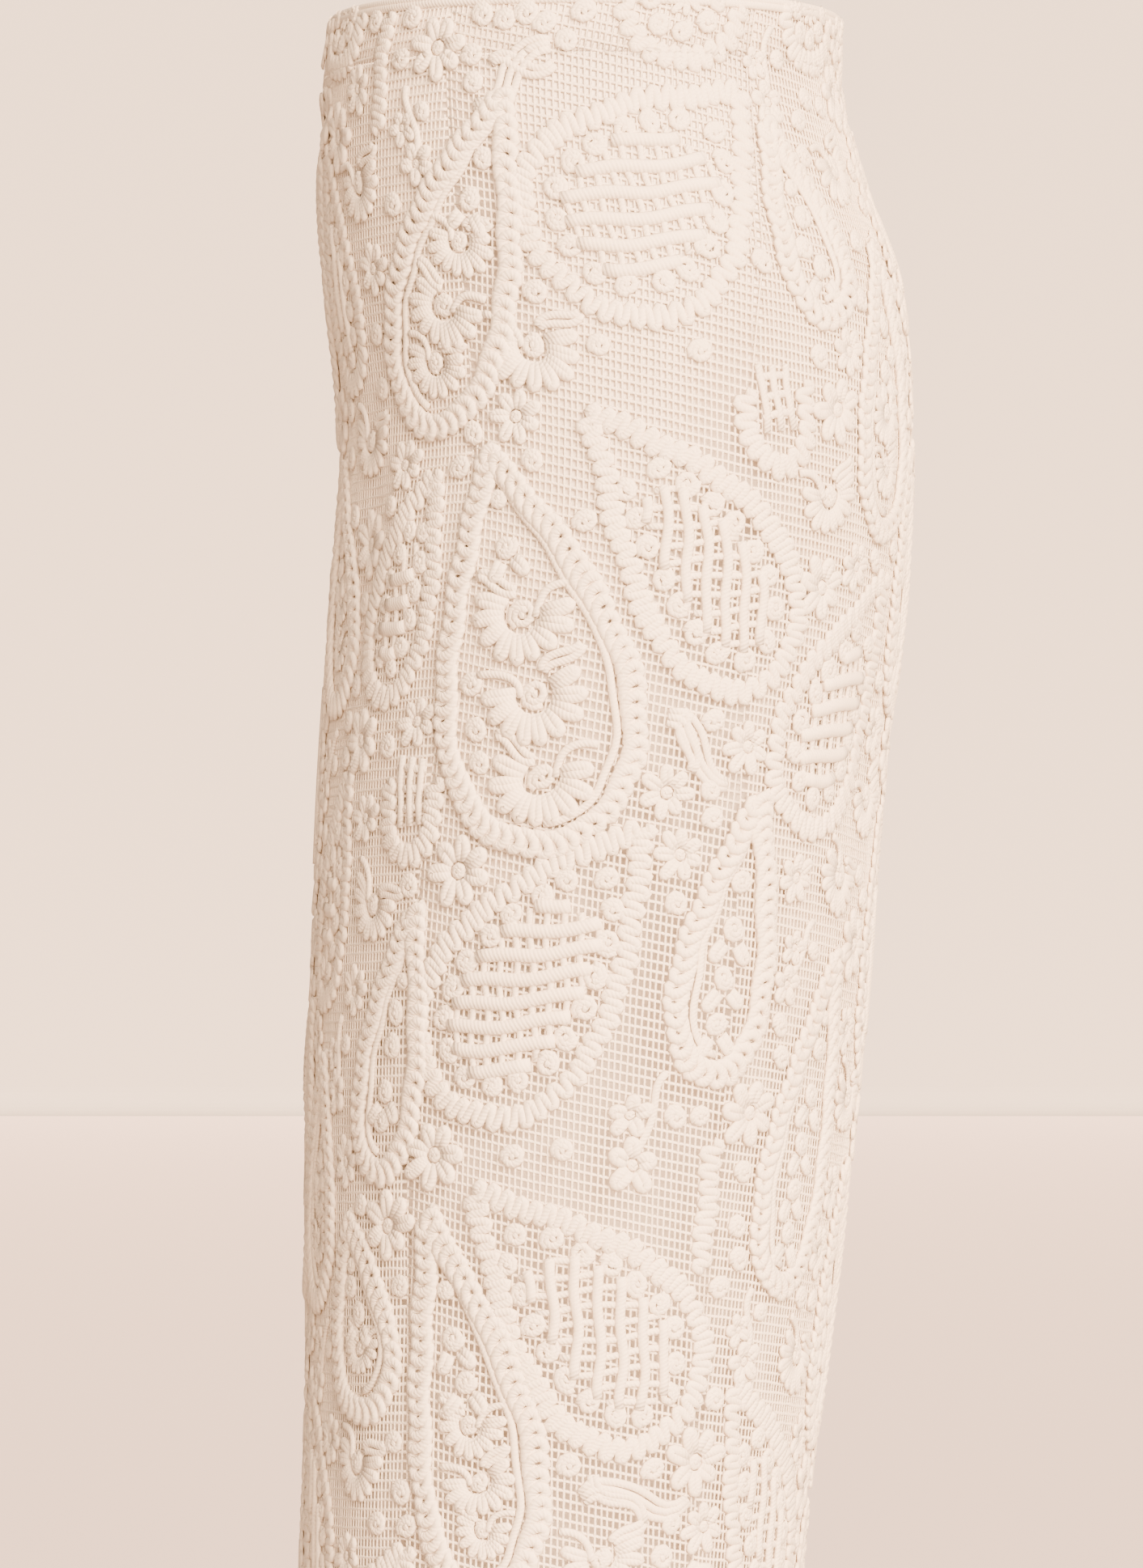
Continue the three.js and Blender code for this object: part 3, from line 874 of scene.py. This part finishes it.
def net_lines(panel):
    """Threads of the net: uprights at even widths, and rows that follow the panel's grain."""
    heights = np.arange(PANEL_TOP - 0.1, PANEL_HEM, -UPRIGHT_STEP)
    heights = np.r_[[CLOTH_TOP - 0.1, BAND_EDGE / 2], heights]
    heights = np.r_[heights, PANEL_HEM + 0.1]
    widths = arc_width(panel, heights)
    reach = int(widths.max() / 2 / CELL_WIDTH)
    lines = []
    for k in range(-reach, reach + 1):
        wobble = UPRIGHT_SWAY * np.sin(0.11 * heights + 1.7 * k)
        share = 0.5 + (k * CELL_WIDTH + wobble) / widths
        turn = panel_turn(panel, heights, share)
        lines += panel_parts((turn, heights, NET_DEPTH, THREAD_UP), panel, UPRIGHT_MARGIN)
    half = widths.max() / 2
    across = np.arange(-half, half + ROW_STEP - 0.1, ROW_STEP)
    drop = abs(panel["grain"]) * half
    for level in np.arange(CLOTH_TOP + drop, PANEL_HEM - drop, -CELL_HEIGHT):
        z = level + panel["grain"] * across + ROW_SWAY * np.sin(0.3 * across + level)
        width = np.interp(-z, -heights, widths)
        share = np.clip(0.5 + across / width, -0.2, 1.2)
        turn = panel_turn(panel, z, share)
        lines += panel_parts((turn, z, NET_DEPTH, THREAD_ACROSS), panel, ROW_MARGIN)
    return lines


def seam_lines():
    """A fine thread along each seam, where the panels' edges meet."""
    heights = np.linspace(CLOTH_TOP, PANEL_HEM, SEAM_STEPS)
    return [(turn, heights, NET_DEPTH - 0.2, THREAD_UP) for turn in seam_turns(heights)[1:]]


def ring_line(z, out, width):
    """A line all round the skirt at one height."""
    turn = np.linspace(0, FULL_TURN, RING_STEPS + 1)
    return turn, np.full(RING_STEPS + 1, float(z)), out, width


def shell(name, heights, columns, face_out, inside_out):
    """A closed wall all round the skirt, between an outer and an inner depth."""
    turn = np.arange(columns) * FULL_TURN / columns
    rows = []
    heights = np.asarray(heights, float)
    for z in heights:
        rows.append(skin(turn, z, face_out(turn, z))[0])
    for z in heights[::-1]:
        rows.append(skin(turn, z, inside_out(turn, z))[0])
    grid = np.stack(rows) * MM
    count = len(rows)
    corners = grid.reshape(-1, 3)
    faces = []
    for i in range(count):
        below = (i + 1) % count
        for j in range(columns):
            k = (j + 1) % columns
            faces.append((i * columns + j, below * columns + j, below * columns + k, i * columns + k))
    mesh = bpy.data.meshes.new(name)
    mesh.from_pydata(corners.tolist(), [], faces)
    mesh.polygons.foreach_set("use_smooth", np.ones(len(faces), bool))
    mesh.update()
    return added(name, mesh)


# Materials

ROUGH_SPREAD = 0.06


def new_material(name):
    """A new material, its node tree and its shader."""
    material = bpy.data.materials.new(name)
    material.use_nodes = True
    tree = material.node_tree
    return material, tree, tree.nodes["Principled BSDF"]


def add_node(tree, kind, **inputs):
    """A new node with some of its inputs set, where a name's underscore stands for a space."""
    node = tree.nodes.new(kind)
    for name, value in inputs.items():
        node.inputs[name.replace("_", " ")].default_value = value
    return node


def cotton(name, shades, patch_scale, fibre_scale, fibre_height, roughness, ply_height=0.0):
    """Matt cotton: soft patches of two shades, a fine fibre bump, and the plies of a twisted cord."""
    material, tree, shader = new_material(name)
    place = tree.nodes.new("ShaderNodeTexCoord")
    patches = add_node(tree, "ShaderNodeTexNoise", Scale=patch_scale, Detail=3.0)
    fibres = add_node(tree, "ShaderNodeTexNoise", Scale=fibre_scale, Detail=4.0)
    ramp = tree.nodes.new("ShaderNodeValToRGB")
    for element, position, colour in zip(ramp.color_ramp.elements, (0.3, 0.7), shades):
        element.position = position
        element.color = (*colour, 1)
    bump = add_node(tree, "ShaderNodeBump", Strength=0.6, Distance=fibre_height)
    rough_range = {"To_Min": roughness - ROUGH_SPREAD, "To_Max": roughness + ROUGH_SPREAD}
    rough = add_node(tree, "ShaderNodeMapRange", **rough_range)
    link = tree.links.new
    link(place.outputs["Object"], patches.inputs["Vector"])
    link(place.outputs["Object"], fibres.inputs["Vector"])
    link(patches.outputs["Fac"], ramp.inputs["Fac"])
    link(ramp.outputs["Color"], shader.inputs["Base Color"])
    link(fibres.outputs["Fac"], bump.inputs["Height"])
    link(bump.outputs["Normal"], shader.inputs["Normal"])
    link(fibres.outputs["Fac"], rough.inputs["Value"])
    link(rough.outputs["Result"], shader.inputs["Roughness"])
    if ply_height:
        twist = tree.nodes.new("ShaderNodeAttribute")
        twist.attribute_name = "twist"
        wave = tree.nodes.new("ShaderNodeMath")
        wave.operation = "PINGPONG"
        wave.inputs[1].default_value = 0.5
        plies = add_node(tree, "ShaderNodeBump", Strength=0.8, Distance=ply_height)
        link(twist.outputs["Fac"], wave.inputs[0])
        link(wave.outputs["Value"], plies.inputs["Height"])
        link(plies.outputs["Normal"], bump.inputs["Normal"])
    shader.inputs["Specular IOR Level"].default_value = 0.25
    shader.inputs["Sheen Weight"].default_value = 0.2
    shader.inputs["Sheen Roughness"].default_value = 0.5
    return material


# The darker and the lighter shade of each cotton
CORD_SHADES = [(0.92, 0.8, 0.685), (0.94, 0.83, 0.72)]
BAND_SHADES = [(0.93, 0.82, 0.73), (0.95, 0.85, 0.76)]
SLIP_SHADES = [(0.92, 0.835, 0.76), (0.94, 0.865, 0.79)]
cord_cotton = cotton(
    "cord_cotton",
    CORD_SHADES,
    patch_scale=18,
    fibre_scale=900,
    fibre_height=0.00025,
    roughness=0.88,
    ply_height=0.0004,
)
net_cotton = cotton(
    "net_cotton",
    CORD_SHADES,
    patch_scale=25,
    fibre_scale=1400,
    fibre_height=0.0002,
    roughness=0.9,
    ply_height=0.0002,
)
band_cotton = cotton(
    "band_cotton", BAND_SHADES, patch_scale=20, fibre_scale=700, fibre_height=0.0003, roughness=0.9
)
slip_cotton = cotton(
    "slip_cotton", SLIP_SHADES, patch_scale=12, fibre_scale=1200, fibre_height=0.0001, roughness=0.8
)


def finish_piece(piece, material):
    """A piece with its material, riding on the part's body."""
    piece.data.materials.append(material)
    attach(piece, "root")
    return piece


def assigned(lines):
    """Each cord with the panel that most of it lies on, or else with the front."""
    cords = {panel["name"]: [] for panel in PANELS}
    for line in lines:
        carriers = [panel for panel in PANELS if mostly_on(line, panel)]
        cords[(carriers or PANELS)[0]["name"]].append(line)
    return cords


def cord_pieces(panel, parts):
    """A panel's cords as one piece, or as two on the wide front."""
    if panel["name"] != "front_panel":
        return [swept_mesh("cords_" + panel["name"], parts, CORD_SECTION)]
    left = [part for part in parts if part[0].mean() % FULL_TURN > FULL_TURN + FRONT_TURN]
    right = [part for part in parts if part[0].mean() % FULL_TURN <= FULL_TURN + FRONT_TURN]
    return [
        swept_mesh("cords_front_left", left, CORD_SECTION),
        swept_mesh("cords_front_right", right, CORD_SECTION),
    ]


cord_lines = draw_motifs()
panel_cords = assigned(parts_between(cord_lines, PANEL_TOP, PANEL_HEM))
band_threads = []
for panel in PANELS:
    threads = net_lines(panel)
    band_threads += parts_between(threads, CLOTH_TOP, PANEL_TOP)
    panel_threads = parts_between(threads, PANEL_TOP, PANEL_HEM)
    net = swept_mesh("net_" + panel["name"], panel_threads, THREAD_SECTION)
    finish_piece(net, net_cotton)
    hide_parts(panel["name"])
    cords = cord_pieces(panel, panel_cords[panel["name"]])
    for piece in cords:
        finish_piece(piece, cord_cotton)

finish_piece(swept_mesh("seam_cords", seam_lines(), THREAD_SECTION), net_cotton)

hem_rings = [
    ring_line(PANEL_HEM + 1, CORD_FOOT - 0.4, FINE_CORD),
    ring_line(PANEL_HEM + 4.2, CORD_FOOT, FINE_CORD),
]
finish_piece(swept_mesh("hem_cords", hem_rings, CORD_SECTION), cord_cotton)

BAND_ROWS = [-0.4, -1.2, -6, -12, -18, -24, -24.8]
BAND_COLUMNS = 144
FACE_ROUNDING = 0.5
INSIDE_ROUNDING = 0.4


def band_face(turn, z):
    """Depth of the waistband's outer face, rounded in at its first and last row."""
    return BAND_FACE - FACE_ROUNDING * (z in (BAND_ROWS[0], BAND_ROWS[-1]))


def band_inside(turn, z):
    """Depth of the waistband's inner face, rounded out at its first and last row."""
    return BAND_INSIDE + INSIDE_ROUNDING * (z in (BAND_ROWS[0], BAND_ROWS[-1]))


band = shell("waistband_cloth", BAND_ROWS, BAND_COLUMNS, band_face, band_inside)
finish_piece(band, band_cotton)
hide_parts("waistband")

top_rings = [
    ring_line(-1.3, CORD_FOOT - 0.3, FINE_CORD),
    ring_line(-3.6, CORD_FOOT - 0.2, FINE_CORD),
]
band_cord_lines = parts_between(cord_lines, CLOTH_TOP, PANEL_TOP) + top_rings
band_cords = swept_mesh("waistband_cords", band_cord_lines, CORD_SECTION)
finish_piece(band_cords, cord_cotton)
band_net = swept_mesh("waistband_net", band_threads, THREAD_SECTION)
finish_piece(band_net, net_cotton)

LINING_COLUMNS = 108
LINING_HEM = LINING_SHORTER - LENGTH
LINING_ROWS = np.linspace(-BAND_HEIGHT - 0.6, LINING_HEM, 46)


def lining_face(turn, z):
    """Depth of the slip's outer face, which hangs away from the net in its hollows."""
    return value_at(LINING_FACE, "depth", z) + fold_relief(turn, z, HOLLOWS)


def lining_inside(turn, z):
    """Depth of the slip's inner face."""
    return lining_face(turn, z) - LINING_THICKNESS


lining = shell("slip_lining", LINING_ROWS, LINING_COLUMNS, lining_face, lining_inside)
finish_piece(lining, slip_cotton)
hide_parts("lining")


# Stage, light and camera

CAMERA_DISTANCE = 3.4
CAMERA_Y = -0.015
CAMERA_Z = -0.32
PICTURE_HEIGHT = 0.659
SENSOR = 36.0
FLOOR_Z = -1.03
WALL_X = -13.9
SPAN = 30.0
COVE = 0.06
COVE_STEPS = 9
FLOOR_START = -3.3
WALL_REACH = 4.0
WALL_TOP = 6.0
UNDERLAY = 0.002
NEAR_FLOOR_COLOUR = (0.42, 0.38, 0.36)
FLOOR_COLOUR = (0.82, 0.72, 0.715)
WALL_COLOUR = (0.46, 0.438, 0.43)
SUN_WAY = (-0.86, -0.42, -0.4)
SUN_POWER = 4.0
SUN_SPREAD = 46.0
WARM = (1, 0.727, 0.497)
BRIGHT_SIDE = (0.86, 0.42, 0.3)
BRIGHT = 2.6
BRIGHT_FROM = 0.4
BRIGHT_TO = 0.9
EXPOSURE = 2.33


def plain_material(name, colour):
    """Matt paint of one colour."""
    material, _, shader = new_material(name)
    shader.inputs["Base Color"].default_value = (*colour, 1)
    shader.inputs["Roughness"].default_value = 1.0
    shader.inputs["Specular IOR Level"].default_value = 0.0
    return material


def staged(name, strip, materials, slots):
    """A backdrop from a strip of points, with a material slot for each of its faces."""
    faces = [(2 * i, 2 * i + 1, 2 * i + 3, 2 * i + 2) for i in range(len(slots))]
    mesh = bpy.data.meshes.new(name)
    mesh.from_pydata(strip, [], faces)
    for material in materials:
        mesh.materials.append(material)
    mesh.polygons.foreach_set("material_index", slots)
    mesh.update()
    added(name, mesh)


# The floor near the skirt is a little darker, which shades its sides. The lighter floor and wall are far
# behind it.
near_strip = [(x, y, FLOOR_Z - UNDERLAY) for x in (SPAN, -SPAN) for y in (-SPAN, SPAN)]
staged("near_floor", near_strip, [plain_material("near_floor_paint", NEAR_FLOOR_COLOUR)], [0])
cove_angles = np.linspace(0, math.pi / 2, COVE_STEPS)
profile = [(FLOOR_START, FLOOR_Z)]
profile += [(WALL_X - COVE * math.sin(a), FLOOR_Z + COVE * (1 - math.cos(a))) for a in cove_angles]
profile.append((WALL_X - COVE, WALL_TOP))
light_strip = [(x, y, z) for x, z in profile for y in (-WALL_REACH, WALL_REACH)]
light_paints = [
    plain_material("floor_paint", FLOOR_COLOUR),
    plain_material("wall_paint", WALL_COLOUR),
]
staged("floor", light_strip, light_paints, [0] + [1] * (len(profile) - 2))

sun_data = bpy.data.lights.new("sun", "SUN")
sun_data.energy = SUN_POWER
sun_data.angle = math.radians(SUN_SPREAD)
sun_data.color = WARM
sun = added("sun", sun_data)
sun.rotation_mode = "QUATERNION"
sun.rotation_quaternion = Vector(SUN_WAY).to_track_quat("-Z", "Y")

# The room is bright on one side, and passes softly into the dark side
world = bpy.data.worlds.new("studio")
bpy.context.scene.world = world
world.use_nodes = True
sky = world.node_tree
place = sky.nodes.new("ShaderNodeTexCoord")
facing = sky.nodes.new("ShaderNodeVectorMath")
facing.operation = "DOT_PRODUCT"
facing.inputs[1].default_value = Vector(BRIGHT_SIDE).normalized()
shade = sky.nodes.new("ShaderNodeValToRGB")
shade.color_ramp.interpolation = "EASE"
shade.color_ramp.elements[0].color = (0, 0, 0, 1)
shade.color_ramp.elements[1].color = (*WARM, 1)
spread = add_node(sky, "ShaderNodeMapRange", From_Min=BRIGHT_FROM, From_Max=BRIGHT_TO)
sky.links.new(place.outputs["Generated"], facing.inputs[0])
sky.links.new(facing.outputs["Value"], spread.inputs["Value"])
sky.links.new(spread.outputs["Result"], shade.inputs["Fac"])
sky.links.new(shade.outputs["Color"], sky.nodes["Background"].inputs["Color"])
sky.nodes["Background"].inputs["Strength"].default_value = BRIGHT

view = bpy.context.scene.view_settings
view.view_transform = "AgX"
view.look = "AgX - Punchy"
view.exposure = EXPOSURE

camera_data = bpy.data.cameras.new("camera")
camera_data.sensor_width = SENSOR
camera_data.lens = SENSOR * CAMERA_DISTANCE / PICTURE_HEIGHT
camera = added("camera", camera_data)
camera.location = (CAMERA_DISTANCE, CAMERA_Y, CAMERA_Z)
camera.rotation_euler = (math.pi / 2, 0, math.pi / 2)
bpy.context.scene.camera = camera
